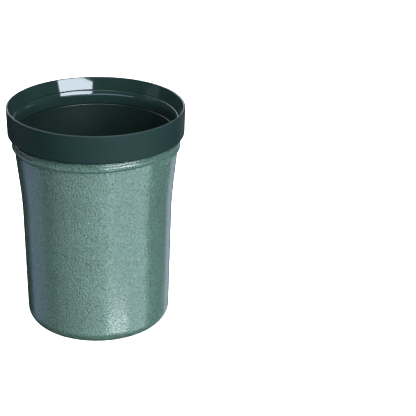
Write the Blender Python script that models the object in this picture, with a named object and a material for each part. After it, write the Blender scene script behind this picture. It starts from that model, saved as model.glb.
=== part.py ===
"""Disinfectant jar: an open jar with an enamelled steel shell and a lift-out moulded insert.

Every round piece is turned about the world Z axis, which is the jar's own axis, and the jar
stands on the plane z = 0. A profile is a list of (radius, height) points in metres. It starts
on the piece's underside and runs up its outer side, over the top and down its inner side.
"""

import math

import bmesh
import bpy

MM = 0.001

# Turning
SEGMENTS = 56
ARC_STEP = math.radians(25.0)
SHARP_ANGLE = math.radians(32.0)

# Fits
TOUCH_GAP = 0.3 * MM
INSERT_CLEARANCE = 0.35 * MM
SKIRT_CLEARANCE = 0.5 * MM
AIR_GAP = 1.2 * MM

# Steel shell
SHELL_WALL = 0.8 * MM
SHELL_HEIGHT = 122.0 * MM
FOOT_RADIUS = 43.0 * MM
CORNER_RADIUS = 8.0 * MM
STANDING_RING = 5.0 * MM
RECESS_DEPTH = 2.2 * MM
RECESS_RAMP = 3.0 * MM
WAIST_RADIUS = 44.45 * MM
WAIST_HEIGHT = 78.0 * MM
WAIST_BLEND = 11.0 * MM
BAND_RADIUS = 48.45 * MM
BAND_HEIGHT = 6.0 * MM
NECK_DROP = 9.8 * MM
NECK_STEP = 0.3 * MM

# Two-start thread rolled into the shell's neck, which rises to the right
THREAD_STARTS = 2
THREAD_LEAD = 9.2 * MM
THREAD_HEIGHT = 1.15 * MM
THREAD_DROP = 11.2 * MM
THREAD_LOWER_FLANK = 2.1 * MM
THREAD_UPPER_FLANK = 2.8 * MM
THREAD_CLEARANCE = 0.8 * MM
THREAD_FADE = 1.0 * MM
THREAD_ANGLE = math.radians(-37.0)
THREAD_RUN_IN = math.radians(12.0)
THREAD_ROWS = 16

# Rim gasket
GASKET_THICKNESS = 1.6 * MM
GASKET_OVERHANG = 0.7 * MM

# Funnel of the mouth: one cone that runs from the throat ring on up the collar to its lip
FUNNEL_ANGLE = math.radians(22.5)
SEAM_SETBACK = 0.1 * MM

# Throat ring
THROAT_WALL = 1.0 * MM
THROAT_DROP = 4.2 * MM
THROAT_ROUNDING = 0.5 * MM
FLANGE_RISE = 2.8 * MM
FLANGE_OVERHANG = 2.8 * MM

# Collar
SKIRT_DROP = 3.2 * MM
FOOT_THICKNESS = 2.0 * MM
FOOT_ROUNDING = 1.2 * MM
COLLAR_DRAFT = 0.3 * MM
INNER_BAND_HEIGHT = 7.5 * MM
LIP_WALL = 1.43 * MM

# Liner cup
LINER_WALL = 1.5 * MM
LINER_LIP = 0.7 * MM
LINER_FLANGE = 1.4 * MM
LINER_CORNER = 7.0 * MM
LINER_FLOOR = 2.0 * MM

# Pad between the liner and the shell
PAD_THICKNESS = 2.4 * MM
PAD_MARGIN = 3.0 * MM
PAD_ROUNDING = 0.5 * MM

# Shell heights and radii that follow from the values above
RECESS_RADIUS = FOOT_RADIUS - CORNER_RADIUS - STANDING_RING
BAND_BOTTOM = SHELL_HEIGHT - BAND_HEIGHT
BAND_INNER = BAND_RADIUS - SHELL_WALL
NECK_HEIGHT = SHELL_HEIGHT - NECK_DROP
NECK_RADIUS = BAND_RADIUS - NECK_STEP
THREAD_BOTTOM = SHELL_HEIGHT - THREAD_DROP
THREAD_TOP = SHELL_HEIGHT - SKIRT_DROP - THREAD_CLEARANCE

# Insert heights and radii, from the shell's rim outwards and from its floor upwards
GASKET_BOTTOM = SHELL_HEIGHT + TOUCH_GAP
GASKET_TOP = GASKET_BOTTOM + GASKET_THICKNESS
GASKET_OUTER = BAND_RADIUS + GASKET_OVERHANG
THROAT_OUTER = BAND_INNER - INSERT_CLEARANCE
THROAT_INNER = THROAT_OUTER - THROAT_WALL
FLANGE_BOTTOM = GASKET_TOP + TOUCH_GAP
THROAT_BOTTOM = FLANGE_BOTTOM - THROAT_DROP
FUNNEL_BOTTOM = FLANGE_BOTTOM + THROAT_WALL
FLANGE_TOP = FUNNEL_BOTTOM + FLANGE_RISE
FLANGE_OUTER = THROAT_INNER + FLANGE_RISE * math.tan(FUNNEL_ANGLE) + FLANGE_OVERHANG
COLLAR_BOTTOM = SHELL_HEIGHT - SKIRT_DROP
LIP_HEIGHT = FLANGE_TOP + INNER_BAND_HEIGHT
LIP_INNER = THROAT_INNER + (LIP_HEIGHT - FUNNEL_BOTTOM) * math.tan(FUNNEL_ANGLE)
LIP_RADIUS = LIP_INNER + LIP_WALL
LINER_TOP = THROAT_BOTTOM - TOUCH_GAP
LINER_MOUTH = THROAT_INNER - LINER_LIP
PAD_RADIUS = RECESS_RADIUS - RECESS_RAMP - PAD_MARGIN
PAD_BOTTOM = RECESS_DEPTH + SHELL_WALL + TOUCH_GAP
LINER_BOTTOM = PAD_BOTTOM + PAD_THICKNESS + TOUCH_GAP


def remove_objects():
    """Empty the scene of every object."""
    for existing in list(bpy.data.objects):
        bpy.data.objects.remove(existing, do_unlink=True)


def material(name, colour, roughness, metallic=0.0, coat=0.0):
    """Make a Principled material from a linear colour."""
    made = bpy.data.materials.new(name)
    made.use_nodes = True
    made.diffuse_color = (*colour, 1.0)
    shader = made.node_tree.nodes["Principled BSDF"]
    shader.inputs["Base Color"].default_value = (*colour, 1.0)
    shader.inputs["Roughness"].default_value = roughness
    shader.inputs["Metallic"].default_value = metallic
    shader.inputs["Coat Weight"].default_value = coat
    return made


def arc(centre, radius, start_degrees, end_degrees):
    """Points of an arc in the (radius, height) plane, with both ends and the middle."""
    start = math.radians(start_degrees)
    sweep = math.radians(end_degrees) - start
    count = 2 * math.ceil(abs(sweep) / ARC_STEP / 2)
    angles = [start + sweep * step / count for step in range(count + 1)]
    return [(centre[0] + radius * math.cos(a), centre[1] + radius * math.sin(a)) for a in angles]


def blend(before, corner, after, length):
    """A rounded corner: a quadratic curve that leaves and joins the two sides at `length`."""
    def towards(point):
        span = math.dist(corner, point)
        return tuple(c + (p - c) * length / span for c, p in zip(corner, point))

    start = towards(before)
    end = towards(after)
    curve = []
    for step in range(5):
        t = step / 4
        curve.append(tuple(
            (1 - t) ** 2 * a + 2 * t * (1 - t) * b + t ** 2 * c
            for a, b, c in zip(start, corner, end)
        ))
    return curve


def turn(name, profile, made_of, parent=None):
    """Turn a closed profile about the Z axis into one smooth solid."""
    bm = bmesh.new()
    outline = [bm.verts.new((radius, 0.0, height)) for radius, height in profile]
    edges = [bm.edges.new((a, b)) for a, b in zip(outline, outline[1:] + outline[:1])]
    on_axis = profile[0][0] == 0.0
    if on_axis:
        bm.edges.remove(edges.pop())
    bmesh.ops.spin(
        bm, geom=outline + edges, cent=(0.0, 0.0, 0.0), axis=(0.0, 0.0, 1.0),
        angle=math.tau, steps=SEGMENTS, use_merge=True, use_duplicate=False,
    )
    bmesh.ops.remove_doubles(bm, verts=bm.verts, dist=0.001 * MM)
    bmesh.ops.dissolve_degenerate(bm, dist=0.001 * MM, edges=bm.edges)
    bmesh.ops.recalc_face_normals(bm, faces=bm.faces)
    mesh = bpy.data.meshes.new(name)
    bm.to_mesh(mesh)
    bm.free()
    mesh.materials.append(made_of)
    mesh.shade_smooth()
    mesh.set_sharp_from_angle(angle=SHARP_ANGLE)
    made = bpy.data.objects.new(name, mesh)
    bpy.context.collection.objects.link(made)
    made.parent = parent
    return made


def wall_radius(height):
    """Outer radius of the shell's plain wall at a height, without the thread."""
    knees = [
        (FOOT_RADIUS, CORNER_RADIUS),
        (WAIST_RADIUS, WAIST_HEIGHT),
        (NECK_RADIUS, NECK_HEIGHT),
        (BAND_RADIUS, BAND_BOTTOM),
    ]
    for low, high in zip(knees, knees[1:]):
        if height < high[1]:
            share = (height - low[1]) / (high[1] - low[1])
            return low[0] + share * (high[0] - low[0])
    return BAND_RADIUS


def shell_wall():
    """Outer wall of the shell, from the top of the foot corner up to the trimmed rim."""
    foot = (FOOT_RADIUS, CORNER_RADIUS)
    waist = (WAIST_RADIUS, WAIST_HEIGHT)
    neck = (NECK_RADIUS, NECK_HEIGHT)
    lowest = THREAD_BOTTOM - THREAD_LOWER_FLANK
    rows = [lowest + (THREAD_TOP - lowest) * step / THREAD_ROWS for step in range(THREAD_ROWS + 1)]
    return [
        *blend(foot, waist, neck, WAIST_BLEND),
        *[(wall_radius(height), height) for height in rows],
        (BAND_RADIUS, SHELL_HEIGHT),
    ]


def ridge_rise(above):
    """Shape of a ridge, from 0 to 1: a rounded upper flank and a lower one that ends in a crease."""
    if above > 0.0:
        share = min(above / THREAD_UPPER_FLANK, 1.0)
        return (1.0 + math.cos(share * math.pi)) / 2
    share = min(-above / THREAD_LOWER_FLANK, 1.0)
    return math.cos(share * math.pi / 2)


def thread_rise(angle, height):
    """How far the thread stands out of the wall at an angle about the axis and a height."""
    rise = 0.0
    for start in range(THREAD_STARTS):
        turns = ((angle - THREAD_ANGLE) / math.tau - start / THREAD_STARTS) % 1.0
        run_in = min(turns * math.tau / THREAD_RUN_IN, 1.0)
        crest = THREAD_BOTTOM + THREAD_LEAD * turns
        rise = max(rise, THREAD_HEIGHT * run_in * ridge_rise(height - crest))
    return rise * min(max((THREAD_TOP - height) / THREAD_FADE, 0.0), 1.0)


def roll_thread(shell):
    """Push the outer side of the shell's neck out along the thread."""
    for vertex in shell.data.vertices:
        x, y, height = vertex.co
        radius = math.hypot(x, y)
        if THREAD_BOTTOM - THREAD_LOWER_FLANK < height and radius > wall_radius(height) - TOUCH_GAP:
            scale = 1.0 + thread_rise(math.atan2(y, x), height) / radius
            vertex.co.x = x * scale
            vertex.co.y = y * scale


def outer_shell(enamel, root):
    """Drawn steel cup: recessed base, standing ring, tapered wall, rolled thread, plain rim."""
    corner_centre = (FOOT_RADIUS - CORNER_RADIUS, CORNER_RADIUS)
    ramp_top = (RECESS_RADIUS - RECESS_RAMP, RECESS_DEPTH)
    wall = shell_wall()
    inner_wall = [
        *[(radius - SHELL_WALL, height) for radius, height in wall if height < THREAD_BOTTOM],
        (NECK_RADIUS - SHELL_WALL, NECK_HEIGHT),
        (BAND_INNER, BAND_BOTTOM),
        (BAND_INNER, SHELL_HEIGHT),
    ]
    profile = [
        (0.0, RECESS_DEPTH),
        ramp_top,
        (RECESS_RADIUS, 0.0),
        *arc(corner_centre, CORNER_RADIUS, -90, 0),
        *wall,
        *reversed(inner_wall),
        *arc(corner_centre, CORNER_RADIUS - SHELL_WALL, 0, -90),
        (RECESS_RADIUS + SHELL_WALL / 2, SHELL_WALL),
        (ramp_top[0] + SHELL_WALL / 2, RECESS_DEPTH + SHELL_WALL),
        (0.0, RECESS_DEPTH + SHELL_WALL),
    ]
    shell = turn("outer_shell", profile, enamel, root)
    roll_thread(shell)
    return shell


def base_pad(rubber, root):
    """Soft disc on the shell's floor that the liner stands on."""
    edge = PAD_RADIUS - PAD_ROUNDING
    top = PAD_BOTTOM + PAD_THICKNESS
    profile = [
        (0.0, PAD_BOTTOM),
        *arc((edge, PAD_BOTTOM + PAD_ROUNDING), PAD_ROUNDING, -90, 0),
        *arc((edge, top - PAD_ROUNDING), PAD_ROUNDING, 0, 90),
        (0.0, top),
    ]
    return turn("base_pad", profile, rubber, root)


def rim_gasket(rubber, insert):
    """Flat elastomer ring that the insert seats with on the shell's rim."""
    rounding = GASKET_THICKNESS / 4
    inner = THROAT_OUTER + TOUCH_GAP + rounding
    outer = GASKET_OUTER - rounding
    low = GASKET_BOTTOM + rounding
    high = GASKET_TOP - rounding
    profile = [
        *arc((inner, low), rounding, 180, 270),
        *arc((outer, low), rounding, -90, 0),
        *arc((outer, high), rounding, 0, 90),
        *arc((inner, high), rounding, 90, 180),
    ]
    return turn("rim_gasket", profile, rubber, insert)


def funnel_radius(height):
    """Inner radius of the mouth's cone at a height."""
    return THROAT_INNER + (height - FUNNEL_BOTTOM) * math.tan(FUNNEL_ANGLE)


def throat_ring(plastic, insert):
    """Moulded ring: upright throat, start of the funnel, and a flange held in the collar."""
    corner = (THROAT_INNER, FUNNEL_BOTTOM)
    seam = (funnel_radius(FLANGE_TOP), FLANGE_TOP)
    foot = (THROAT_INNER, THROAT_BOTTOM)
    profile = [
        foot,
        (THROAT_OUTER, THROAT_BOTTOM),
        (THROAT_OUTER, FLANGE_BOTTOM),
        (FLANGE_OUTER, FLANGE_BOTTOM),
        (FLANGE_OUTER, FLANGE_TOP),
        seam,
        *blend(seam, corner, foot, THROAT_ROUNDING),
    ]
    return turn("throat_ring", profile, plastic, insert)


def collar(plastic, insert):
    """Moulded collar: turned-in foot, near-upright side, thin round lip, upper funnel."""
    hook = BAND_RADIUS + SKIRT_CLEARANCE
    foot_top = COLLAR_BOTTOM + FOOT_THICKNESS
    foot_edge = (LIP_RADIUS - COLLAR_DRAFT - FOOT_ROUNDING, COLLAR_BOTTOM + FOOT_ROUNDING)
    hook_rounding = FOOT_ROUNDING / 3
    hook_edge = (hook + hook_rounding, COLLAR_BOTTOM + hook_rounding)
    lip_rounding = LIP_WALL / 2
    lip_middle = (LIP_RADIUS - lip_rounding, LIP_HEIGHT - lip_rounding)
    pocket = GASKET_OUTER + TOUCH_GAP
    groove = FLANGE_OUTER + TOUCH_GAP
    groove_bottom = FLANGE_BOTTOM - TOUCH_GAP
    groove_top = FLANGE_TOP + TOUCH_GAP
    seam = (funnel_radius(groove_top) + SEAM_SETBACK, groove_top)
    profile = [
        *arc(hook_edge, hook_rounding, 180, 270),
        *arc(foot_edge, FOOT_ROUNDING, -90, 0),
        *arc(lip_middle, lip_rounding, 0, 180 - math.degrees(FUNNEL_ANGLE)),
        seam,
        (groove, groove_top),
        (groove, groove_bottom),
        (pocket, groove_bottom),
        (pocket, foot_top),
        (hook, foot_top),
    ]
    return turn("collar", profile, plastic, insert)


def liner(plastic, insert):
    """Moulded cup that follows the shell's wall an air gap inside it."""
    def outer(height):
        return wall_radius(height) - SHELL_WALL - AIR_GAP

    flange_bottom = LINER_TOP - LINER_FLANGE
    soft = LINER_LIP / 2
    low = LINER_BOTTOM + LINER_CORNER
    corner_centre = (outer(low) - LINER_CORNER, low)
    inner_corner = LINER_CORNER - LINER_WALL
    floor = LINER_BOTTOM + LINER_FLOOR
    profile = [
        (0.0, LINER_BOTTOM),
        *arc(corner_centre, LINER_CORNER, -90, 0),
        (outer(WAIST_HEIGHT), WAIST_HEIGHT),
        (outer(NECK_HEIGHT), NECK_HEIGHT),
        (outer(NECK_HEIGHT), flange_bottom),
        (THROAT_OUTER, flange_bottom),
        (THROAT_OUTER, LINER_TOP),
        *arc((LINER_MOUTH + soft, LINER_TOP - soft), soft, 90, 180),
        (outer(NECK_HEIGHT) - LINER_WALL, NECK_HEIGHT),
        (outer(WAIST_HEIGHT) - LINER_WALL, WAIST_HEIGHT),
        *arc((corner_centre[0], floor + inner_corner), inner_corner, 0, -90),
        (0.0, floor),
    ]
    return turn("liner", profile, plastic, insert)


def build():
    """Model every piece: the shell and its pad stand still, the insert lifts along +Z."""
    remove_objects()
    enamel = material("hammered_enamel", (0.13, 0.24, 0.20), 0.32, metallic=0.35, coat=0.5)
    plastic = material("green_plastic", (0.022, 0.052, 0.050), 0.33)
    liner_plastic = material("dark_green_plastic", (0.012, 0.026, 0.024), 0.26)
    rubber = material("black_rubber", (0.010, 0.011, 0.011), 0.7)

    root = bpy.data.objects.new("jar", None)
    insert = bpy.data.objects.new("insert", None)
    for empty in (root, insert):
        bpy.context.collection.objects.link(empty)
    insert.parent = root

    outer_shell(enamel, root)
    base_pad(rubber, root)
    liner(liner_plastic, insert)
    rim_gasket(rubber, insert)
    throat_ring(plastic, insert)
    collar(plastic, insert)


build()
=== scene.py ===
"""Looks of an open jar: hammered-enamel steel shell, moulded green collar, throat ring and liner.

Every round piece is turned by one Geometry Nodes tree from a profile of (radius, height) points.
"""

import math

import bmesh
import bpy
from bpy.props import FloatProperty, FloatVectorProperty, IntProperty, PointerProperty, StringProperty
from mathutils import Euler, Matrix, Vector


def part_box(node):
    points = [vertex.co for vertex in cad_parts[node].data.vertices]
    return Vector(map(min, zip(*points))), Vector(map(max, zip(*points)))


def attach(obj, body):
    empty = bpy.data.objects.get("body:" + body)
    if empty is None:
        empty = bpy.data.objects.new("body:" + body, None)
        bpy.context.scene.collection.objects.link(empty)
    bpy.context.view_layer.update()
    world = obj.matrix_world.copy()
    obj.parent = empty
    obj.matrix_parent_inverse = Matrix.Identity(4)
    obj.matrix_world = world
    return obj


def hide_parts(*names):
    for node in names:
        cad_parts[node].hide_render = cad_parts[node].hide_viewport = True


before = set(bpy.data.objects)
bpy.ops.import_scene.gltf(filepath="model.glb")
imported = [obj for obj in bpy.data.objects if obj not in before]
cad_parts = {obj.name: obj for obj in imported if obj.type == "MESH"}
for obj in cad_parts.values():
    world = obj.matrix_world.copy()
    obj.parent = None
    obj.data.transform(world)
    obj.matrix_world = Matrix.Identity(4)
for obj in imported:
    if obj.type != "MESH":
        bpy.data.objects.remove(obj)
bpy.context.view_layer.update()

bl_info = {
    "name": "Enamelled jar",
    "version": (1, 0, 0),
    "blender": (4, 5, 0),
    "location": "View3D > Sidebar > Jar",
    "description": "Makes the pieces, finishes and studio of an enamelled jar with a lift-out liner",
    "category": "Object",
}

MM = 0.001
FACETS = 256
ARC_STEP = math.radians(9.0)
SHARP_ANGLE = math.radians(34.0)

# Turning: radius of the circle that a profile is swept round, distance at which points merge,
# and how squarely, as a negative cosine, a face looks at the axis to take the inner finish
SWEEP_RADIUS = 0.04
MERGE_DISTANCE = 0.002 * MM
INNER_FACING = -0.3

# Thread: its two starts in parts of a turn, the height over which it fades out, the height of one
# row of faces, the softness of its run-in, and the tree's defaults, which give no thread at all
THREAD_STARTS = (0.0, 0.5)
THREAD_FADE = 1.0 * MM
THREAD_ROW = 0.16 * MM
RUN_IN_SOFTNESS = 0.3
THREAD_INPUTS = {
    "Thread Height": 0.0, "Thread Lead": 1.0, "Thread Bottom": 0.0, "Thread Top": 1.0,
    "Thread Lower Flank": 1.0, "Thread Upper Flank": 1.0, "Thread Angle": 0.0, "Thread Run In": 1.0,
}

# Soft corners of the profiles: how far from its corner each one leaves its sides
RECESS_EDGE = 1.2 * MM
RECESS_FOOT = 1.0 * MM
GASKET_EDGE = 0.5 * MM
SEAM_EDGE = 0.25 * MM
THROAT_FOOT = 0.45 * MM
THROAT_BLEND = 1.6 * MM
LINER_WAIST_BLEND = 6.0 * MM
LINER_NECK_BLEND = 2.0 * MM

# Base pad: rounding of its edge, and its grooves' depth and radii as shares of the pad's radius
PAD_EDGE = 0.5 * MM
GROOVE_DEPTH = 0.7 * MM
GROOVE_SHARES = (0.85, 0.65, 0.45, 0.25)

# Sockets of a Mix node that mixes colours: its two colours and its result
MIX_FIRST, MIX_SECOND, MIX_RESULT = 6, 7, 2

# Low panels in front of the jar: left and right azimuth in degrees, watts per square metre, tint
LOW_ELEVATION = -32
LOW_DISTANCE = 1.2
LOW_HEIGHT = 0.64
LOW_PANELS = (
    (-62, -40, 1.3, "FAF8F8"),
    (-40, -20, 2.3, "F4FAFC"),
    (-20, -4, 3.4, "ECFAFF"),
    (-4, 10, 4.8, "E6FAFF"),
    (10, 26, 5.7, "E4F9FF"),
    (26, 83, 8.8, "E2F9FF"),
)

# Pieces that the light for the inside of the mouth falls on
MOUTH_PIECES = ("throat", "liner_cup")

SHELL_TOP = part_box("outer_shell")[1].z
COLLAR_LOW, COLLAR_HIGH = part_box("collar")
THROAT_LOW, THROAT_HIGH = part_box("throat_ring")
LINER_LOW, LINER_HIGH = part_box("liner")
GASKET_LOW, GASKET_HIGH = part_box("rim_gasket")
PAD_LOW, PAD_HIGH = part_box("base_pad")


# ---------------------------------------------------------------- settings


def length(name, description, millimetres):
    """A length setting whose default is given in millimetres."""
    return FloatProperty(
        name=name, description=description, default=millimetres * MM, min=0.0,
        subtype="DISTANCE", unit="LENGTH", precision=5,
    )


def colour(name, description, value):
    """A colour setting, kept as an sRGB hex value such as 6F9487."""
    return StringProperty(name=name, description=description, default=value)


class JarShellSettings(bpy.types.PropertyGroup):
    """Sizes and colours of the steel shell and the pad on its floor."""

    wall: length("Wall", "Thickness of the drawn steel with its enamel", 0.8)
    foot_radius: length("Foot radius", "Outer radius where the foot corner meets the wall", 43.0)
    corner_radius: length("Foot corner", "Radius of the rounded corner at the foot", 8.0)
    standing_ring: length("Standing ring", "Width of the flat ring the jar stands on", 5.0)
    recess_depth: length("Recess depth", "Depth of the recess in the base", 2.2)
    recess_ramp: length("Recess ramp", "Width of the ramp at the recess's edge", 3.0)
    waist_radius: length("Waist radius", "Outer radius where the wall begins to flare", 44.45)
    waist_height: length("Waist height", "Height at which the wall begins to flare", 78.0)
    waist_blend: length("Waist blend", "Length of the soft bend at the waist, each way", 11.0)
    band_height: length("Band height", "Height of the upright band below the rim", 6.0)
    band_radius: length("Band radius", "Outer radius of the upright band at the rim", 48.45)
    neck_drop: length("Neck drop", "How far below the rim the wall stops flaring", 9.8)
    neck_step: length("Neck step", "How far the neck lies inside the band", 0.3)
    thread_lead: length("Thread lead", "Rise of the two-start thread in one turn", 9.2)
    thread_height: length("Thread height", "How far the thread stands out of the wall", 1.3)
    thread_drop: length("Thread drop", "How far below the rim each start begins", 11.2)
    thread_lower: length("Lower flank", "Height of the thread's flank under its crest", 2.1)
    thread_upper: length("Upper flank", "Height of the thread's flank over its crest", 3.0)
    thread_stop: length("Thread stop", "How far below the rim the thread has faded out", 4.0)
    thread_angle: FloatProperty(
        name="Thread angle", description="Direction about the axis where the first start begins",
        default=math.radians(-37.0), subtype="ANGLE",
    )
    thread_run_in: FloatProperty(
        name="Run-in", description="Turn over which a start grows to its full height",
        default=math.radians(12.0), subtype="ANGLE",
    )
    grain: length("Grain", "Size that the enamel's dimples and pits are scaled from", 0.68)
    enamel: colour("Enamel", "Colour of the enamel's body", "5A7769")
    # Colour of painted shade, laid into the enamel's colour in the hollows of its dimples and cells
    pit_shade: colour("Pits", "Colour of the enamel in its pits", "21392F")
    steel: colour("Bare steel", "Colour of the uncoated inside", "B9BCBD")
    rubber: colour("Rubber", "Colour of the pad and the gasket", "1B1D1D")


class JarInsertSettings(bpy.types.PropertyGroup):
    """Sizes and colours of the collar, throat ring and liner."""

    touch_gap: length("Gap", "Gap left round a piece that sits in another", 0.3)
    funnel_angle: FloatProperty(
        name="Funnel angle", description="Lean of the mouth's cone from upright",
        default=math.radians(22.5), subtype="ANGLE",
    )
    funnel_rise: length("Funnel start", "Height of the throat ring's part of the cone", 2.8)
    throat_wall: length("Throat wall", "Wall of the throat ring", 1.0)
    seam_setback: length("Seam setback", "How far the collar's cone lies behind the ring's", 0.1)
    skirt_clearance: length("Skirt clearance", "Gap between the collar's foot and the shell", 0.5)
    foot_thickness: length("Collar foot", "Thickness of the collar's turned-in foot", 2.0)
    foot_rounding: length("Foot rounding", "Rounding of the collar's lower outer edge", 1.2)
    collar_draft: length("Collar draft", "How far the collar narrows towards its foot", 0.3)
    lip_wall: length("Lip", "Thickness of the collar's lip", 1.43)
    liner_wall: length("Liner wall", "Wall of the liner cup", 1.5)
    liner_lip: length("Liner lip", "How far the liner's lip stands in from the throat", 0.7)
    liner_flange: length("Liner flange", "Thickness of the liner's flange", 1.4)
    liner_corner: length("Liner corner", "Outer corner radius of the liner's floor", 7.0)
    liner_floor: length("Liner floor", "Thickness of the liner's floor", 2.0)
    air_gap: length("Air gap", "Space between the liner and the shell", 1.2)
    collar_colour: colour("Collar", "Colour of the satin collar", "182A28")
    funnel_colour: colour("Funnel", "Colour of the polished inside of the mouth", "1B2B27")
    liner_colour: colour("Liner", "Colour of the liner cup", "131F1C")


class JarStageSettings(bpy.types.PropertyGroup):
    """Studio floor and camera, and how finely the pieces are turned."""

    facets: IntProperty(
        name="Facets", description="Facets round each turned piece", default=FACETS, min=24,
    )
    floor_colour: colour("Floor", "Colour of the floor", "F2F3F3")
    floor_size: length("Floor size", "Width of the floor", 3000.0)
    camera_place: FloatVectorProperty(
        name="Camera", description="Where the camera stands", default=(0.0661, -0.7689, 0.4119),
        subtype="TRANSLATION", unit="LENGTH",
    )
    camera_pitch: FloatProperty(
        name="Pitch", description="How far the camera looks down",
        default=math.radians(23.878), subtype="ANGLE",
    )
    camera_roll: FloatProperty(
        name="Roll", description="How far the camera leans",
        default=math.radians(1.17), subtype="ANGLE",
    )
    lens: FloatProperty(name="Lens", description="Focal length in millimetres", default=121.75)


# ---------------------------------------------------------------- shared helpers


def linear(hex_value):
    """Linear RGBA of an sRGB hex value."""
    channels = [int(hex_value[i:i + 2], 16) / 255 for i in (0, 2, 4)]
    return (*[c / 12.92 if c <= 0.04045 else ((c + 0.055) / 1.055) ** 2.4 for c in channels], 1.0)


def arc(centre, radius, start, end):
    """Points of an arc in the (radius, height) plane, from one angle in degrees to another."""
    first = math.radians(start)
    sweep = math.radians(end) - first
    count = 2 * math.ceil(abs(sweep) / ARC_STEP / 2)
    angles = [first + sweep * step / count for step in range(count + 1)]
    return [(centre[0] + radius * math.cos(a), centre[1] + radius * math.sin(a)) for a in angles]


def blend(before, corner, after, reach, steps=8):
    """Points of a soft corner that leaves and joins its two sides at a reach from the corner."""
    def towards(point):
        share = reach / math.dist(corner, point)
        return tuple(c + (p - c) * share for c, p in zip(corner, point))

    start, end = towards(before), towards(after)
    points = []
    for step in range(steps + 1):
        t = step / steps
        weights = ((1 - t) ** 2, 2 * t * (1 - t), t ** 2)
        points.append(tuple(
            sum(w * p[axis] for w, p in zip(weights, (start, corner, end))) for axis in (0, 1)
        ))
    return points


def softened(points, reach):
    """A closed profile with each of its corners softened by the same reach."""
    soft = []
    for index, corner in enumerate(points):
        after = points[(index + 1) % len(points)]
        soft += blend(points[index - 1], corner, after, reach, steps=4)
    return soft


def add_node(tree, kind, links=None, inputs=None, **settings):
    """Add a node with its settings, socket values and incoming links."""
    node = tree.nodes.new(kind)
    for key, value in settings.items():
        setattr(node, key, value)
    for key, value in (inputs or {}).items():
        node.inputs[key].default_value = value
    for key, source in (links or {}).items():
        tree.links.new(source, node.inputs[key])
    return node


def calculate(tree, operation, *values):
    """A math node fed by numbers or sockets, in the order of its inputs; gives its result."""
    node = add_node(tree, "ShaderNodeMath", operation=operation)
    for socket, value in zip(node.inputs, values):
        if isinstance(value, (int, float)):
            socket.default_value = value
        else:
            tree.links.new(value, socket)
    return node.outputs["Value"]


def facing_outward(tree):
    """How squarely a surface faces away from the axis, and the direction away from the axis."""
    place = add_node(tree, "GeometryNodeInputPosition")
    flat = add_node(tree, "ShaderNodeVectorMath", operation="MULTIPLY", links={
        0: place.outputs["Position"],
    }, inputs={1: (1.0, 1.0, 0.0)})
    outward = add_node(tree, "ShaderNodeVectorMath", operation="NORMALIZE", links={
        0: flat.outputs["Vector"],
    })
    facing = add_node(tree, "ShaderNodeVectorMath", operation="DOT_PRODUCT", links={
        0: add_node(tree, "GeometryNodeInputNormal").outputs["Normal"],
        1: outward.outputs["Vector"],
    })
    return facing.outputs["Value"], outward.outputs["Vector"]


def flank(tree, distance, width, sweep):
    """A cosine over a flank: 1 at the crest and before it, and turned by the sweep at its end."""
    share = add_node(tree, "ShaderNodeClamp", links={
        "Value": calculate(tree, "DIVIDE", distance, width),
    })
    return calculate(tree, "COSINE", calculate(tree, "MULTIPLY", share.outputs["Result"], sweep))


def thread_rise(tree, given):
    """How far a two-start thread stands out at each point: a rounded ridge along each helix,
    that grows over its run-in and fades out again below the thread's top."""
    split = add_node(tree, "ShaderNodeSeparateXYZ", links={
        "Vector": add_node(tree, "GeometryNodeInputPosition").outputs["Position"],
    })
    height = split.outputs["Z"]
    angle = calculate(tree, "ARCTAN2", split.outputs["Y"], split.outputs["X"])
    from_start = calculate(tree, "SUBTRACT", angle, given.outputs["Thread Angle"])
    turns = calculate(tree, "DIVIDE", from_start, math.tau)
    rise = None
    for start in THREAD_STARTS:
        # Two whole turns more keep the sum above zero at every angle
        turn = calculate(tree, "FRACT", calculate(tree, "ADD", turns, 2.0 + start))
        climb = calculate(tree, "MULTIPLY", turn, given.outputs["Thread Lead"])
        crest = calculate(tree, "ADD", climb, given.outputs["Thread Bottom"])
        above = calculate(tree, "SUBTRACT", height, crest)
        upper = flank(tree, above, given.outputs["Thread Upper Flank"], math.pi)
        rounded = calculate(tree, "MULTIPLY_ADD", upper, 0.5, 0.5)
        below = calculate(tree, "MULTIPLY", above, -1.0)
        lower = flank(tree, below, given.outputs["Thread Lower Flank"], math.pi / 2)
        sweep = calculate(tree, "MULTIPLY", turn, math.tau)
        run_in = calculate(tree, "DIVIDE", sweep, given.outputs["Thread Run In"])
        grown = calculate(tree, "SMOOTH_MIN", run_in, 1.0, RUN_IN_SOFTNESS)
        ridge = calculate(tree, "MULTIPLY", calculate(tree, "MINIMUM", rounded, lower), grown)
        rise = ridge if rise is None else calculate(tree, "MAXIMUM", rise, ridge)
    left = calculate(tree, "SUBTRACT", given.outputs["Thread Top"], height)
    fade = add_node(tree, "ShaderNodeClamp", links={
        "Value": calculate(tree, "DIVIDE", left, THREAD_FADE),
    })
    faded = calculate(tree, "MULTIPLY", rise, fade.outputs["Result"])
    return calculate(tree, "MULTIPLY", faded, given.outputs["Thread Height"])


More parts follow.
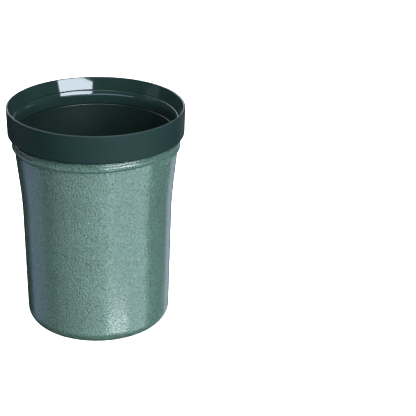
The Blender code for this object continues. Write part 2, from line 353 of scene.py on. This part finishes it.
def turning_tree():
    """Geometry Nodes tree that turns a profile curve about Z and gives it two finishes."""
    tree = bpy.data.node_groups.new("Turned piece", "GeometryNodeTree")
    face = tree.interface
    face.new_socket("Profile", in_out="INPUT", socket_type="NodeSocketGeometry")
    face.new_socket("Facets", in_out="INPUT", socket_type="NodeSocketInt").default_value = FACETS
    face.new_socket("Sweep Radius", in_out="INPUT", socket_type="NodeSocketFloat")
    for name, value in THREAD_INPUTS.items():
        face.new_socket(name, in_out="INPUT", socket_type="NodeSocketFloat").default_value = value
    face.new_socket("Outer Finish", in_out="INPUT", socket_type="NodeSocketMaterial")
    face.new_socket("Inner Finish", in_out="INPUT", socket_type="NodeSocketMaterial")
    face.new_socket("Geometry", in_out="OUTPUT", socket_type="NodeSocketGeometry")
    given = add_node(tree, "NodeGroupInput")
    circle = add_node(tree, "GeometryNodeCurvePrimitiveCircle", mode="RADIUS", links={
        "Resolution": given.outputs["Facets"],
        "Radius": given.outputs["Sweep Radius"],
    })
    swept = add_node(tree, "GeometryNodeCurveToMesh", links={
        "Curve": circle.outputs["Curve"],
        "Profile Curve": given.outputs["Profile"],
    })
    outwards = add_node(tree, "GeometryNodeFlipFaces", links={"Mesh": swept.outputs["Mesh"]})
    merged = add_node(tree, "GeometryNodeMergeByDistance", links={
        "Geometry": outwards.outputs["Mesh"],
    }, inputs={"Distance": MERGE_DISTANCE})
    facing, outward = facing_outward(tree)
    on_outside = add_node(tree, "FunctionNodeCompare", data_type="FLOAT", links={"A": facing})
    push = add_node(tree, "ShaderNodeVectorMath", operation="SCALE", links={
        0: outward,
        "Scale": thread_rise(tree, given),
    })
    rolled = add_node(tree, "GeometryNodeSetPosition", links={
        "Geometry": merged.outputs["Geometry"],
        "Selection": on_outside.outputs["Result"],
        "Offset": push.outputs["Vector"],
    })
    real = add_node(tree, "GeometryNodeRealizeInstances", links={
        "Geometry": rolled.outputs["Geometry"],
    })
    outer = add_node(tree, "GeometryNodeSetMaterial", links={
        "Geometry": real.outputs["Geometry"],
        "Material": given.outputs["Outer Finish"],
    })
    on_inside = add_node(
        tree, "FunctionNodeCompare", data_type="FLOAT", operation="LESS_THAN",
        links={"A": facing}, inputs={"B": INNER_FACING},
    )
    inner = add_node(tree, "GeometryNodeSetMaterial", links={
        "Geometry": outer.outputs["Geometry"],
        "Selection": on_inside.outputs["Result"],
        "Material": given.outputs["Inner Finish"],
    })
    made = add_node(tree, "NodeGroupOutput")
    tree.links.new(inner.outputs["Geometry"], made.inputs["Geometry"])
    return tree


def set_input(modifier, name, value):
    """Set a Geometry Nodes modifier's input through its socket's identifier."""
    for item in modifier.node_group.interface.items_tree:
        if item.in_out == "INPUT" and item.name == name:
            modifier[item.identifier] = value
            return
    raise RuntimeError(f"the tree has no input named {name}")


def profile_curve(name, profile, closed):
    """A curve object that holds a profile of (radius, height) points, ready to be swept."""
    data = bpy.data.curves.new(name + "_profile", "CURVE")
    data.dimensions = "3D"
    spline = data.splines.new("POLY")
    spline.points.add(len(profile) - 1)
    for point, (radius, height) in zip(spline.points, profile):
        point.co = (radius - SWEEP_RADIUS, -height, 0.0, 1.0)
    spline.use_cyclic_u = closed
    holder = bpy.data.objects.new(name + "_profile", data)
    bpy.context.scene.collection.objects.link(holder)
    return holder


def plain_mesh(name, holder):
    """The evaluated result of an object as a plain mesh with smooth faces and sharp edges."""
    bpy.context.view_layer.update()
    depsgraph = bpy.context.evaluated_depsgraph_get()
    mesh = bpy.data.meshes.new_from_object(holder.evaluated_get(depsgraph), depsgraph=depsgraph)
    if not mesh.polygons:
        raise RuntimeError(f"{name} came out empty")
    work = bmesh.new()
    work.from_mesh(mesh)
    bmesh.ops.recalc_face_normals(work, faces=work.faces)
    work.to_mesh(mesh)
    work.free()
    mesh.shade_smooth()
    mesh.set_sharp_from_angle(angle=SHARP_ANGLE)
    mesh.name = name
    return mesh


def turned(name, profile, outer, inner, closed=True, thread=None):
    """Turn a profile into a plain closed piece, with a thread if its inputs are given."""
    holder = profile_curve(name, profile, closed)
    modifier = holder.modifiers.new("Turn", "NODES")
    modifier.node_group = bpy.data.node_groups.get("Turned piece") or turning_tree()
    set_input(modifier, "Facets", bpy.context.scene.jar_stage.facets)
    set_input(modifier, "Sweep Radius", SWEEP_RADIUS)
    for key, value in (thread or {}).items():
        set_input(modifier, key, value)
    set_input(modifier, "Outer Finish", bpy.data.materials[outer])
    set_input(modifier, "Inner Finish", bpy.data.materials[inner])
    piece = bpy.data.objects.new(name, plain_mesh(name, holder))
    bpy.data.objects.remove(holder)
    bpy.context.scene.collection.objects.link(piece)
    return piece


def fit_out(piece, body, node):
    """Put a piece on its body and let it stand for a CAD node, whose own mesh is hidden."""
    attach(piece, body)
    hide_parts(node)


# ---------------------------------------------------------------- materials


def new_material(name, **values):
    """A material with one Principled shader, whose inputs are given by name with _ for a space.
    Returns the material, its tree and its shader."""
    made = bpy.data.materials.get(name) or bpy.data.materials.new(name)
    made.use_nodes = True
    tree = made.node_tree
    tree.nodes.clear()
    shader = add_node(tree, "ShaderNodeBsdfPrincipled", inputs={
        key.replace("_", " "): value for key, value in values.items()
    })
    add_node(tree, "ShaderNodeOutputMaterial", links={"Surface": shader.outputs["BSDF"]})
    return made, tree, shader


def shaded(rgba, factor):
    """A colour made lighter or darker by a factor."""
    return (*[min(1.0, channel * factor) for channel in rgba[:3]], 1.0)


def ramp(tree, source, stops):
    """A colour ramp with linear stops of (position, RGBA)."""
    node = add_node(tree, "ShaderNodeValToRGB", links={"Fac": source})
    elements = node.color_ramp.elements
    while len(elements) < len(stops):
        elements.new(0.5)
    for element, (position, value) in zip(elements, stops):
        element.position = position
        element.color = value
    return node


def hammered_enamel(shell):
    """Hammered stoving enamel: metallic-pigment paint that draws into shallow dimples as it
    dries, under its own gloss. It gives a soft sheen and clear reflections that the dimples
    ruffle; its colour is darkened as painted shade in the low parts of the dimples and in
    hollow cells. Dimples lie about 0.9 mm apart and the hollow cells about 1.6 mm,
    and the colour drifts a little over some 23 mm."""
    made, tree, shader = new_material(
        "hammered_enamel", Metallic=0.15, Roughness=0.45, Coat_Weight=1.0, Coat_Roughness=0.06,
    )
    place = add_node(tree, "ShaderNodeTexCoord").outputs["Object"]
    dimples = add_node(tree, "ShaderNodeTexNoise", links={"Vector": place}, inputs={
        "Scale": 0.75 / shell.grain, "Detail": 0.5, "Roughness": 0.5, "Distortion": 0.9,
    })
    cells = add_node(tree, "ShaderNodeTexVoronoi", links={"Vector": place}, inputs={
        "Scale": 0.42 / shell.grain, "Randomness": 1.0,
    })
    drift = add_node(tree, "ShaderNodeTexNoise", links={"Vector": place}, inputs={
        "Scale": 0.03 / shell.grain, "Detail": 2.0,
    })
    # Painted shade: masks that darken the colour in the hollow cell centres and in the low parts of
    # the dimples
    pit_bump_and_shade = ramp(tree, cells.outputs["Distance"], [(0.12, (1, 1, 1, 1)), (0.26, (0, 0, 0, 1))])
    hollow_shade = ramp(tree, dimples.outputs["Fac"], [(0.38, (1, 1, 1, 1)), (0.52, (0, 0, 0, 1))])
    body = linear(shell.enamel)
    base = ramp(tree, drift.outputs["Fac"], [(0.35, body), (0.65, shaded(body, 1.1))])
    hollow_shade_strength = 0.45
    hollow_shade_share = calculate(tree, "MULTIPLY", hollow_shade.outputs["Color"], hollow_shade_strength)
    # The enamel's colour with the painted shade mixed in where the masks are high
    tone_with_shade = add_node(tree, "ShaderNodeMix", data_type="RGBA", links={
        "Factor": calculate(tree, "MAXIMUM", hollow_shade_share, pit_bump_and_shade.outputs["Color"]),
        MIX_FIRST: base.outputs["Color"],
    }, inputs={MIX_SECOND: linear(shell.pit_shade)})
    tree.links.new(tone_with_shade.outputs[MIX_RESULT], shader.inputs["Base Color"])
    pit_depth = 0.3
    pitted = calculate(tree, "MULTIPLY", pit_bump_and_shade.outputs["Color"], pit_depth)
    height = calculate(tree, "SUBTRACT", dimples.outputs["Fac"], pitted)
    relief = add_node(tree, "ShaderNodeBump", links={"Height": height}, inputs={
        "Strength": 1.0, "Distance": 1.4 * MM,
    })
    ripple = add_node(tree, "ShaderNodeBump", links={"Height": height}, inputs={
        "Strength": 1.0, "Distance": 0.09 * MM,
    })
    tree.links.new(relief.outputs["Normal"], shader.inputs["Normal"])
    tree.links.new(ripple.outputs["Normal"], shader.inputs["Coat Normal"])
    return made


def moulded_plastic(name, hex_colour, roughness, texture, specular):
    """Injection-moulded coloured plastic. A fine spark-eroded texture on the mould gives it a
    satin skin, and a polished mould a gloss one; both keep faint flow marks."""
    made, tree, shader = new_material(name, Specular_IOR_Level=specular)
    place = add_node(tree, "ShaderNodeTexCoord").outputs["Object"]
    skin = add_node(tree, "ShaderNodeTexNoise", links={"Vector": place}, inputs={
        "Scale": 1.0 / (0.35 * MM), "Detail": 2.0,
    })
    flow = add_node(tree, "ShaderNodeTexNoise", links={"Vector": place}, inputs={
        "Scale": 1.0 / (22.0 * MM), "Detail": 2.0, "Roughness": 0.6,
    })
    base = linear(hex_colour)
    tint = ramp(tree, flow.outputs["Fac"], [(0.3, shaded(base, 0.9)), (0.7, shaded(base, 1.1))])
    tree.links.new(tint.outputs["Color"], shader.inputs["Base Color"])
    polish = add_node(tree, "ShaderNodeMapRange", links={"Value": flow.outputs["Fac"]}, inputs={
        "From Min": 0.3, "From Max": 0.7, "To Min": roughness * 0.9, "To Max": roughness * 1.1,
    })
    tree.links.new(polish.outputs["Result"], shader.inputs["Roughness"])
    bump = add_node(tree, "ShaderNodeBump", links={"Height": skin.outputs["Fac"]}, inputs={
        "Strength": texture, "Distance": 0.02 * MM,
    })
    tree.links.new(bump.outputs["Normal"], shader.inputs["Normal"])
    return made


def drawn_steel(shell):
    """Bare deep-drawn steel: a dull metal with fine streaks up the wall, the way it was drawn."""
    made, tree, shader = new_material("drawn_steel", Metallic=1.0)
    place = add_node(tree, "ShaderNodeTexCoord").outputs["Object"]
    stretched = add_node(tree, "ShaderNodeMapping", links={"Vector": place}, inputs={
        "Scale": (1.0, 1.0, 0.06),
    })
    streaks = add_node(tree, "ShaderNodeTexNoise", links={
        "Vector": stretched.outputs["Vector"],
    }, inputs={"Scale": 1.0 / (0.6 * MM), "Detail": 3.0})
    base = linear(shell.steel)
    tint = ramp(tree, streaks.outputs["Fac"], [(0.35, shaded(base, 0.75)), (0.65, base)])
    tree.links.new(tint.outputs["Color"], shader.inputs["Base Color"])
    polish = add_node(tree, "ShaderNodeMapRange", links={"Value": streaks.outputs["Fac"]}, inputs={
        "To Min": 0.28, "To Max": 0.46,
    })
    tree.links.new(polish.outputs["Result"], shader.inputs["Roughness"])
    return made


def black_rubber(shell):
    """Moulded black rubber: matt, with a faint bloom."""
    made, tree, shader = new_material("black_rubber", Roughness=0.72)
    place = add_node(tree, "ShaderNodeTexCoord").outputs["Object"]
    bloom = add_node(tree, "ShaderNodeTexNoise", links={"Vector": place}, inputs={
        "Scale": 1.0 / (3.0 * MM), "Detail": 4.0,
    })
    base = linear(shell.rubber)
    tint = ramp(tree, bloom.outputs["Fac"], [(0.4, base), (0.75, shaded(base, 1.6))])
    tree.links.new(tint.outputs["Color"], shader.inputs["Base Color"])
    bump = add_node(tree, "ShaderNodeBump", links={"Height": bloom.outputs["Fac"]}, inputs={
        "Strength": 0.3, "Distance": 0.05 * MM,
    })
    tree.links.new(bump.outputs["Normal"], shader.inputs["Normal"])
    return made


# ---------------------------------------------------------------- the shell's wall


def neck_height(shell):
    """Height where the shell's flare meets its neck."""
    return SHELL_TOP - shell.neck_drop


def neck_radius(shell):
    """Outer radius of the shell where its flare meets its neck."""
    return shell.band_radius - shell.neck_step


def wall_radius(shell, height):
    """Outer radius of the shell's plain wall at a height, without the thread."""
    knees = [
        (shell.foot_radius, shell.corner_radius),
        (shell.waist_radius, shell.waist_height),
        (neck_radius(shell), neck_height(shell)),
        (shell.band_radius, SHELL_TOP - shell.band_height),
    ]
    for low, high in zip(knees, knees[1:]):
        if height < high[1]:
            return low[0] + (high[0] - low[0]) * (height - low[1]) / (high[1] - low[1])
    return shell.band_radius


# ---------------------------------------------------------------- finishes and pieces


class JAR_OT_finishes(bpy.types.Operator):
    """Make or remake the enamel, steel, plastic and rubber materials"""

    bl_idname = "jar.finishes"
    bl_label = "Finishes"

    def execute(self, context):
        shell, insert = context.scene.jar_shell, context.scene.jar_insert
        hammered_enamel(shell)
        drawn_steel(shell)
        black_rubber(shell)
        moulded_plastic(
            "satin_green_plastic", insert.collar_colour, roughness=0.52, texture=0.30, specular=0.14,
        )
        moulded_plastic(
            "polished_green_plastic", insert.funnel_colour, roughness=0.06, texture=0.03, specular=0.5,
        )
        moulded_plastic(
            "dark_green_plastic", insert.liner_colour, roughness=0.25, texture=0.08, specular=0.4,
        )
        return {"FINISHED"}


class JAR_OT_shell(bpy.types.Operator):
    """Make the enamelled shell: recessed base, rounded foot, flared wall, rolled thread and rim"""

    bl_idname = "jar.shell"
    bl_label = "Shell"

    def execute(self, context):
        shell = context.scene.jar_shell
        band = shell.band_radius
        top = SHELL_TOP
        thread_bottom = top - shell.thread_drop
        thread_top = top - shell.thread_stop
        lowest = thread_bottom - shell.thread_lower
        rows = math.ceil((thread_top - lowest) / THREAD_ROW)
        foot = (shell.foot_radius, shell.corner_radius)
        waist = (shell.waist_radius, shell.waist_height)
        neck = (neck_radius(shell), neck_height(shell))
        ring_inner = shell.foot_radius - shell.corner_radius - shell.standing_ring
        ramp_top = (ring_inner - shell.recess_ramp, shell.recess_depth)
        centre = (shell.foot_radius - shell.corner_radius, shell.corner_radius)
        wall = shell.wall
        ramp_inside = (ramp_top[0] + wall / 2, shell.recess_depth + wall)
        heights = [lowest + (thread_top - lowest) * row / rows for row in range(rows + 1)]
        outside = [
            *blend(foot, waist, neck, shell.waist_blend, steps=14),
            *[(wall_radius(shell, height), height) for height in heights],
        ]
        inside = [
            *[(radius - wall, height) for radius, height in outside if height < lowest],
            (neck[0] - wall, neck[1]),
            (band - wall, top - shell.band_height),
        ]
        profile = [
            (0.0, shell.recess_depth),
            *blend((0.0, shell.recess_depth), ramp_top, (ring_inner, 0.0), RECESS_EDGE),
            *blend(ramp_top, (ring_inner, 0.0), (centre[0], 0.0), RECESS_FOOT),
            *arc(centre, shell.corner_radius, -90, 0),
            *outside,
            *arc((band - wall / 2, top - wall / 2), wall / 2, 0, 180),
            *reversed(inside),
            *arc(centre, shell.corner_radius - wall, 0, -90),
            *blend((centre[0], wall), (ring_inner + wall / 2, wall), ramp_inside, RECESS_FOOT),
            ramp_inside,
            (0.0, shell.recess_depth + wall),
        ]
        piece = turned("shell", profile, "hammered_enamel", "drawn_steel", closed=False, thread={
            "Thread Height": shell.thread_height,
            "Thread Lead": shell.thread_lead,
            "Thread Bottom": thread_bottom,
            "Thread Top": thread_top,
            "Thread Lower Flank": shell.thread_lower,
            "Thread Upper Flank": shell.thread_upper,
            "Thread Angle": shell.thread_angle,
            "Thread Run In": shell.thread_run_in,
        })
        fit_out(piece, "shell", "outer_shell")
        return {"FINISHED"}


class JAR_OT_base_pad(bpy.types.Operator):
    """Make the soft pad on the shell's floor, with round grooves moulded in its top"""

    bl_idname = "jar.base_pad"
    bl_label = "Base pad"

    def execute(self, context):
        radius, low, high = PAD_HIGH.x, PAD_LOW.z, PAD_HIGH.z
        profile = [
            (0.0, low),
            *arc((radius - PAD_EDGE, low + PAD_EDGE), PAD_EDGE, -90, 0),
            *arc((radius - PAD_EDGE, high - PAD_EDGE), PAD_EDGE, 0, 90),
        ]
        for share in GROOVE_SHARES:
            profile += arc((radius * share, high), GROOVE_DEPTH, 0, -180)
        profile.append((0.0, high))
        piece = turned("base_cushion", profile, "black_rubber", "black_rubber", closed=False)
        fit_out(piece, "shell", "base_pad")
        return {"FINISHED"}


class JAR_OT_gasket(bpy.types.Operator):
    """Make the soft ring that seats on the shell's rim"""

    bl_idname = "jar.gasket"
    bl_label = "Rim gasket"

    def execute(self, context):
        shell, insert = context.scene.jar_shell, context.scene.jar_insert
        inner = LINER_HIGH.x + insert.touch_gap
        if inner > shell.band_radius - shell.wall:
            raise RuntimeError("the gasket doesn't cover the shell's rim")
        low, high, outer = GASKET_LOW.z, GASKET_HIGH.z, GASKET_HIGH.x
        square = [(inner, low), (outer, low), (outer, high), (inner, high)]
        profile = softened(square, GASKET_EDGE)
        piece = turned("gasket", profile, "black_rubber", "black_rubber")
        fit_out(piece, "insert", "rim_gasket")
        return {"FINISHED"}


class JAR_OT_throat_ring(bpy.types.Operator):
    """Make the throat ring: the start of the funnel over an upright throat"""

    bl_idname = "jar.throat_ring"
    bl_label = "Throat ring"

    def execute(self, context):
        insert = context.scene.jar_insert
        outer = LINER_HIGH.x
        inner = outer - insert.throat_wall
        corner = (inner, THROAT_HIGH.z - insert.funnel_rise)
        flange_bottom = corner[1] - insert.throat_wall
        seam = (inner + insert.funnel_rise * math.tan(insert.funnel_angle), THROAT_HIGH.z)
        foot = (inner, THROAT_LOW.z)
        profile = [
            *blend(corner, foot, (outer, THROAT_LOW.z), THROAT_FOOT, steps=6),
            (outer, THROAT_LOW.z),
            (outer, flange_bottom),
            (THROAT_HIGH.x, flange_bottom),
            (THROAT_HIGH.x, THROAT_HIGH.z),
            *blend((THROAT_HIGH.x, THROAT_HIGH.z), seam, corner, SEAM_EDGE, steps=4),
            *blend(seam, corner, foot, THROAT_BLEND),
        ]
        piece = turned("throat", profile, "polished_green_plastic", "polished_green_plastic")
        fit_out(piece, "insert", "throat_ring")
        return {"FINISHED"}


class JAR_OT_collar(bpy.types.Operator):
    """Make the collar: turned-in foot, satin side, round lip and polished funnel"""

    bl_idname = "jar.collar"
    bl_label = "Collar"

    def execute(self, context):
        shell, insert = context.scene.jar_shell, context.scene.jar_insert
        gap = insert.touch_gap
        slope = math.tan(insert.funnel_angle)
        bottom, top, lip_radius = COLLAR_LOW.z, COLLAR_HIGH.z, COLLAR_HIGH.x
        hook = shell.band_radius + insert.skirt_clearance
        edge = insert.foot_rounding
        foot_edge = (lip_radius - insert.collar_draft - edge, bottom + edge)
        hook_edge = edge / 3
        round_lip = insert.lip_wall / 2
        groove_bottom = THROAT_HIGH.z - insert.funnel_rise - insert.throat_wall - gap
        groove_top = THROAT_HIGH.z + gap
        throat = LINER_HIGH.x - insert.throat_wall
        rise = groove_top - (THROAT_HIGH.z - insert.funnel_rise)
        seam = (throat + rise * slope + insert.seam_setback, groove_top)
        lip_middle = (lip_radius - round_lip, top - round_lip)
        profile = [
            *arc((hook + hook_edge, bottom + hook_edge), hook_edge, 180, 270),
            *arc(foot_edge, edge, -90, 0),
            *arc(lip_middle, round_lip, 0, 180 - math.degrees(insert.funnel_angle)),
            *blend(lip_middle, seam, (THROAT_HIGH.x, groove_top), SEAM_EDGE, steps=4),
            (THROAT_HIGH.x + gap, groove_top),
            (THROAT_HIGH.x + gap, groove_bottom),
            (GASKET_HIGH.x + gap, groove_bottom),
            (GASKET_HIGH.x + gap, bottom + insert.foot_thickness),
            (hook, bottom + insert.foot_thickness),
        ]
        piece = turned("collar_ring", profile, "satin_green_plastic", "polished_green_plastic")
        fit_out(piece, "insert", "collar")
        return {"FINISHED"}


class JAR_OT_liner(bpy.types.Operator):
    """Make the liner cup that follows the shell's wall"""

    bl_idname = "jar.liner"
    bl_label = "Liner cup"

    def execute(self, context):
        shell, insert = context.scene.jar_shell, context.scene.jar_insert

        def outer(height):
            return wall_radius(shell, height) - shell.wall - insert.air_gap

        wall = insert.liner_wall
        flange = LINER_HIGH.x
        top, bottom = LINER_HIGH.z, LINER_LOW.z
        flange_bottom = top - insert.liner_flange
        mouth = flange - insert.throat_wall - insert.liner_lip
        soft = insert.liner_lip / 2
        low = bottom + insert.liner_corner
        corner_x = outer(low) - insert.liner_corner
        inner_corner = insert.liner_corner - wall
        floor = bottom + insert.liner_floor
        neck = neck_height(shell)
        waist = shell.waist_height
        foot_inner = (corner_x + inner_corner, floor + inner_corner)
        waist_outer, neck_outer = (outer(waist), waist), (outer(neck), neck)
        waist_inner, neck_inner = (outer(waist) - wall, waist), (outer(neck) - wall, neck)
        profile = [
            (0.0, bottom),
            *arc((corner_x, low), insert.liner_corner, -90, 0),
            *blend((outer(low), low), waist_outer, neck_outer, LINER_WAIST_BLEND),
            *blend(waist_outer, neck_outer, (neck_outer[0], flange_bottom), LINER_NECK_BLEND),
            (neck_outer[0], flange_bottom),
            (flange, flange_bottom),
            (flange, top),
            *arc((mouth + soft, top - soft), soft, 90, 180),
            *blend((mouth, top), neck_inner, waist_inner, LINER_NECK_BLEND),
            *blend(neck_inner, waist_inner, foot_inner, LINER_WAIST_BLEND),
            *arc((corner_x, floor + inner_corner), inner_corner, 0, -90),
            (0.0, floor),
        ]
        piece = turned("liner_cup", profile, "dark_green_plastic", "dark_green_plastic", closed=False)
        fit_out(piece, "insert", "liner")
        return {"FINISHED"}


# ---------------------------------------------------------------- stage


def softbox(name, azimuth, elevation, distance, width, height, watts, tint):
    """Area light on a sphere round the jar's middle, facing it: angles in degrees, with azimuth 0
    at the front and 90 at the right, and sizes in metres."""
    middle = Vector((0.0, 0.0, COLLAR_HIGH.z / 2))
    turn, lift = math.radians(azimuth), math.radians(elevation)
    away = Vector((
        math.sin(turn) * math.cos(lift), -math.cos(turn) * math.cos(lift), math.sin(lift),
    ))
    data = bpy.data.lights.new(name, "AREA")
    data.shape = "RECTANGLE"
    data.size = width
    data.size_y = height
    data.energy = watts
    data.color = linear(tint)[:3]
    lamp = bpy.data.objects.new(name, data)
    bpy.context.scene.collection.objects.link(lamp)
    lamp.location = middle + away * distance
    lamp.rotation_euler = (-away).to_track_quat("-Z", "Y").to_euler()
    lamp.visible_camera = False
    return lamp


def light_only(lamp, name, pieces):
    """Let a lamp light some pieces and nothing else; returns the collection that holds them."""
    lit = bpy.data.collections.new(name)
    for piece in pieces:
        lit.objects.link(piece)
    lamp.light_linking.receiver_collection = lit
    return lit


def studio_floor(scene, stage):
    """A pale floor that only the camera sees: light passes through it, so it neither shades the
    jar nor shows in its gloss, as if the jar stood on glass high over a white sweep."""
    mesh = bpy.data.meshes.new("studio_floor")
    half = stage.floor_size / 2
    corners = [(-half, -half, 0), (half, -half, 0), (half, half, 0), (-half, half, 0)]
    mesh.from_pydata(corners, [], [(0, 1, 2, 3)])
    paint, _, _ = new_material(
        "matt_white_board", Base_Color=linear(stage.floor_colour), Roughness=0.9,
    )
    mesh.materials.append(paint)
    floor = bpy.data.objects.new("studio_floor", mesh)
    scene.collection.objects.link(floor)
    floor.visible_glossy = False
    floor.visible_diffuse = False
    floor.visible_shadow = False
    return floor


def studio_air(scene, stage):
    """A pale surround that the camera sees behind the floor, and that lights nothing itself."""
    world = bpy.data.worlds.new("studio_air")
    scene.world = world
    world.use_nodes = True
    background = world.node_tree.nodes["Background"]
    background.inputs["Color"].default_value = linear(stage.floor_colour)
    background.inputs["Strength"].default_value = 1.3
    world.cycles_visibility.diffuse = False
    world.cycles_visibility.glossy = False


def studio_lights(floor):
    """Softboxes round the jar, a card that only the mouth sees and a sky that only the floor sees.
    After its name each has azimuth, elevation, distance, width, height, watts and tint."""
    softbox("key_window", 35, 27, 1.2, 0.95, 0.36, 21, "E6F2FF")
    # A wall of low panels, brighter towards the right, that the enamel shows as its sheen
    for left, right, glow, tint in LOW_PANELS:
        azimuth = (left + right) / 2
        width = 2 * LOW_DISTANCE * math.tan(math.radians(right - left) / 2)
        watts = glow * width * LOW_HEIGHT
        softbox("low_panel", azimuth, LOW_ELEVATION, LOW_DISTANCE, width, LOW_HEIGHT, watts, tint)
    softbox("left_fill", -104, -20, 1.0, 0.66, 0.6, 1.15, "B4CBF2")
    softbox("right_strip", 150, -24, 1.0, 0.36, 0.9, 0.9, "DCE8FF")
    mouth_card = softbox("mouth_card", 0, 12, 1.2, 3.0, 0.3, 11.5, "C4E0FF")
    softbox("left_card", -82, 14, 1.2, 0.45, 0.4, 0.2, "DCE8FF")
    softbox("foot_card", 33, -39.5, 0.25, 0.10, 0.02, 0.055, "F4FAFF")
    softbox("top_soft", 15, 66, 1.2, 1.2, 0.7, 13, "F6FAFF")
    softbox("back_soft", 205, 35, 1.3, 1.4, 1.2, 20, "F6FAFF")
    softbox("overhead", 0, 88, 1.3, 1.2, 1.2, 10, "E4EEFF")
    sky = softbox("floor_sky", 0, 89, 3.0, 4.0, 4.0, 420, "FFFFFF")
    light_only(mouth_card, "mouth_only", [bpy.data.objects[name] for name in MOUTH_PIECES])
    sky.light_linking.blocker_collection = light_only(sky, "floor_only", [floor])


def studio_camera(scene, stage):
    """The camera, leaning a little and looking down into the mouth."""
    lens = bpy.data.cameras.new("camera")
    lens.sensor_width = 36.0
    lens.lens = stage.lens
    lens.clip_start = 0.01
    camera = bpy.data.objects.new("camera", lens)
    scene.collection.objects.link(camera)
    camera.location = stage.camera_place
    aim = Euler((math.pi / 2 - stage.camera_pitch, 0.0, 0.0)).to_matrix()
    roll = Euler((0.0, 0.0, stage.camera_roll)).to_matrix()
    camera.rotation_euler = (aim @ roll).to_euler()
    scene.camera = camera


class JAR_OT_stage(bpy.types.Operator):
    """Make the studio: pale floor, soft lights and the camera"""

    bl_idname = "jar.stage"
    bl_label = "Studio"

    def execute(self, context):
        scene = context.scene
        stage = scene.jar_stage
        floor = studio_floor(scene, stage)
        studio_air(scene, stage)
        studio_lights(floor)
        studio_camera(scene, stage)
        scene.view_settings.view_transform = "Standard"
        return {"FINISHED"}


# ---------------------------------------------------------------- add-on

OPERATORS = (
    JAR_OT_finishes, JAR_OT_shell, JAR_OT_base_pad, JAR_OT_liner, JAR_OT_throat_ring, JAR_OT_gasket,
    JAR_OT_collar, JAR_OT_stage,
)
SETTINGS = {
    "jar_shell": JarShellSettings,
    "jar_insert": JarInsertSettings,
    "jar_stage": JarStageSettings,
}


class JAR_PT_panel(bpy.types.Panel):
    """Sizes, colours and pieces of the jar"""

    bl_idname = "JAR_PT_panel"
    bl_label = "Jar"
    bl_space_type = "VIEW_3D"
    bl_region_type = "UI"
    bl_category = "Jar"

    def draw(self, context):
        for key, group in SETTINGS.items():
            box = self.layout.box()
            box.label(text=group.__doc__)
            for name in group.__annotations__:
                box.prop(getattr(context.scene, key), name)
        for operator in OPERATORS:
            self.layout.operator(operator.bl_idname)


def register():
    """Register the settings, operators and panel."""
    for group in SETTINGS.values():
        bpy.utils.register_class(group)
    for key, group in SETTINGS.items():
        setattr(bpy.types.Scene, key, PointerProperty(type=group))
    for operator in OPERATORS:
        bpy.utils.register_class(operator)
    bpy.utils.register_class(JAR_PT_panel)


def unregister():
    """Take the panel, operators and settings away again."""
    bpy.utils.unregister_class(JAR_PT_panel)
    for operator in reversed(OPERATORS):
        bpy.utils.unregister_class(operator)
    for key, group in SETTINGS.items():
        delattr(bpy.types.Scene, key)
        bpy.utils.unregister_class(group)


def main():
    """Register the add-on, then make every piece and the studio."""
    register()
    for operator in OPERATORS:
        getattr(bpy.ops.jar, operator.bl_idname.split(".")[1])()


if __name__ == "__main__":
    main()
